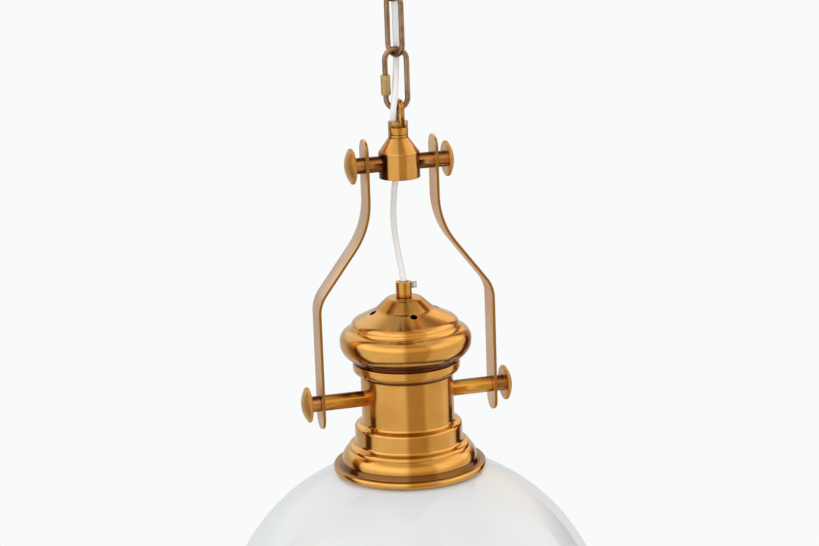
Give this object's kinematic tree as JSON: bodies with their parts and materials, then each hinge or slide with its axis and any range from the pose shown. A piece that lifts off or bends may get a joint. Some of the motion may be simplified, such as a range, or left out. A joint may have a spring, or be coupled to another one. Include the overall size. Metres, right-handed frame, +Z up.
{
  "type": "pendant light",
  "caption": "Pendant light with an open opal glass dome, vented brass gallery and cap, bent straps on knobs, turned hub, short chain, clear cable and ceiling canopy.",
  "frame": {"origin": "middle of the two ceiling screw slots, on the ceiling plane", "axes": "+Z up into the ceiling, X along the pins of the two straps, Y across them"},
  "size_m": [0.3, 0.3, 0.6032],
  "materials": {
    "lacquered_brass": "antique brass, satin brushed and lacquered",
    "chain_brass": "brown antique plating over wire",
    "zinc_steel": "bright zinc plate",
    "porcelain": "white glaze",
    "opal_glass": "glossy opal white, opaque white layer",
    "bulb_glass": "satin white bulb",
    "clear_pvc": "clear soft plastic over two silvery conductors",
    "grey_rubber": "pale grey, matt",
    "clear_nylon": "clear nylon",
    "silver_core": "clear sleeve over silvery strands"
  },
  "bodies": {
    "ceiling": {"ceiling_bracket": "zinc_steel", "canopy_cup": "lacquered_brass", "canopy_eye": "lacquered_brass", "canopy_lock_nut": "zinc_steel", "canopy_clamp_nut": "zinc_steel", "terminal_block": "porcelain", "terminal_clamps": "lacquered_brass", "block_screw": "zinc_steel", "canopy_cable": "clear_pvc", "canopy_cores": "silver_core", "cable_upper": "clear_pvc"},
    "link_upper": {"chain_link_upper": "chain_brass"},
    "link_lower": {"chain_link_lower": "chain_brass"},
    "quick_link": {"quick_link": "chain_brass"},
    "sleeve_nut": {"quick_link_nut": "chain_brass"},
    "hub": {"hub_eye": "lacquered_brass", "hub_collar": "lacquered_brass", "hub_body": "lacquered_brass", "hub_cable": "clear_pvc", "upper_spacer_left": "lacquered_brass", "upper_spacer_right": "lacquered_brass", "cable_lower": "clear_pvc"},
    "upper_knob_left": {"upper_knob_left": "lacquered_brass"},
    "upper_knob_right": {"upper_knob_right": "lacquered_brass"},
    "yoke": {"strap_left": "lacquered_brass", "strap_right": "lacquered_brass"},
    "lower_knob_left": {"lower_knob_left": "lacquered_brass"},
    "lower_knob_right": {"lower_knob_right": "lacquered_brass"},
    "shade_ring": {"shade_ring": "zinc_steel"},
    "bulb": {"bulb_glass": "bulb_glass", "bulb_base": "zinc_steel", "bulb_contact": "porcelain"},
    "lamp": {"lower_spacer_left": "lacquered_brass", "lower_spacer_right": "lacquered_brass", "pin_nut_left": "zinc_steel", "pin_nut_right": "zinc_steel", "bridge_plate": "zinc_steel", "lamp_tube": "zinc_steel", "tube_nut_upper": "zinc_steel", "tube_nut_lower": "zinc_steel", "cord_grip": "lacquered_brass", "cord_grip_screw": "clear_nylon", "vent_cap": "lacquered_brass", "neck_ring": "lacquered_brass", "lamp_body": "lacquered_brass", "holder_cap": "zinc_steel", "holder_shell": "zinc_steel", "holder_insert": "porcelain", "holder_thread": "lacquered_brass", "centre_contact": "lacquered_brass", "holder_screws": "zinc_steel", "lamp_cable": "clear_pvc", "lamp_cores": "silver_core", "rim_gasket": "grey_rubber", "shade_gasket": "grey_rubber", "glass_shade": "opal_glass"}
  },
  "joints": [
    {"name": "upper_link_swing", "type": "hinge", "parent": "ceiling", "child": "link_upper", "pos_m": [-0.00128, -0.00057, -0.0525], "axis": [0.4067, -0.9135, 0], "range_deg": [-30, 30], "deforming": ["cable_upper"]},
    {"name": "lower_link_swing", "type": "hinge", "parent": "link_upper", "child": "link_lower", "pos_m": [0, 0, -0.09249], "axis": [0.9135, 0.4067, 0], "range_deg": [-30, 30], "deforming": ["cable_upper"]},
    {"name": "quick_link_swing", "type": "hinge", "parent": "link_lower", "child": "quick_link", "pos_m": [0, 0, -0.13319], "axis": [0.4067, -0.9135, 0], "range_deg": [-30, 30], "deforming": ["cable_upper"]},
    {"name": "hub_swing", "type": "hinge", "parent": "quick_link", "child": "hub", "pos_m": [0, 0, -0.17277], "axis": [0.9945, -0.1045, 0], "range_deg": [-30, 30], "deforming": ["cable_upper"]},
    {"name": "sleeve_nut_slide", "type": "slide", "parent": "quick_link", "child": "sleeve_nut", "axis": [0, 0, 1], "range_m": [0, 0.009]},
    {"name": "upper_knob_left_turn", "type": "hinge", "parent": "hub", "child": "upper_knob_left", "pos_m": [-0.03, 0, -0.21308], "axis": [1, 0, 0], "continuous": true},
    {"name": "upper_knob_right_turn", "type": "hinge", "parent": "hub", "child": "upper_knob_right", "pos_m": [0.03, 0, -0.21308], "axis": [1, 0, 0], "continuous": true},
    {"name": "yoke_tilt", "type": "hinge", "parent": "hub", "child": "yoke", "pos_m": [0, 0, -0.21308], "axis": [1, 0, 0], "range_deg": [-25, 25], "deforming": ["cable_lower"]},
    {"name": "lamp_tilt", "type": "hinge", "parent": "yoke", "child": "lamp", "pos_m": [0, 0, -0.39028], "axis": [1, 0, 0], "range_deg": [-12, 12], "deforming": ["cable_lower"]},
    {"name": "lower_knob_left_turn", "type": "hinge", "parent": "lamp", "child": "lower_knob_left", "pos_m": [-0.07, 0, -0.39028], "axis": [1, 0, 0], "continuous": true},
    {"name": "lower_knob_right_turn", "type": "hinge", "parent": "lamp", "child": "lower_knob_right", "pos_m": [0.07, 0, -0.39028], "axis": [1, 0, 0], "continuous": true},
    {"name": "shade_ring_turn", "type": "hinge", "parent": "lamp", "child": "shade_ring", "pos_m": [0, 0, -0.452], "axis": [0, 0, 1], "continuous": true},
    {"name": "bulb_turn", "type": "hinge", "parent": "lamp", "child": "bulb", "pos_m": [0, 0, -0.45], "axis": [0, 0, 1], "continuous": true}
  ]
}
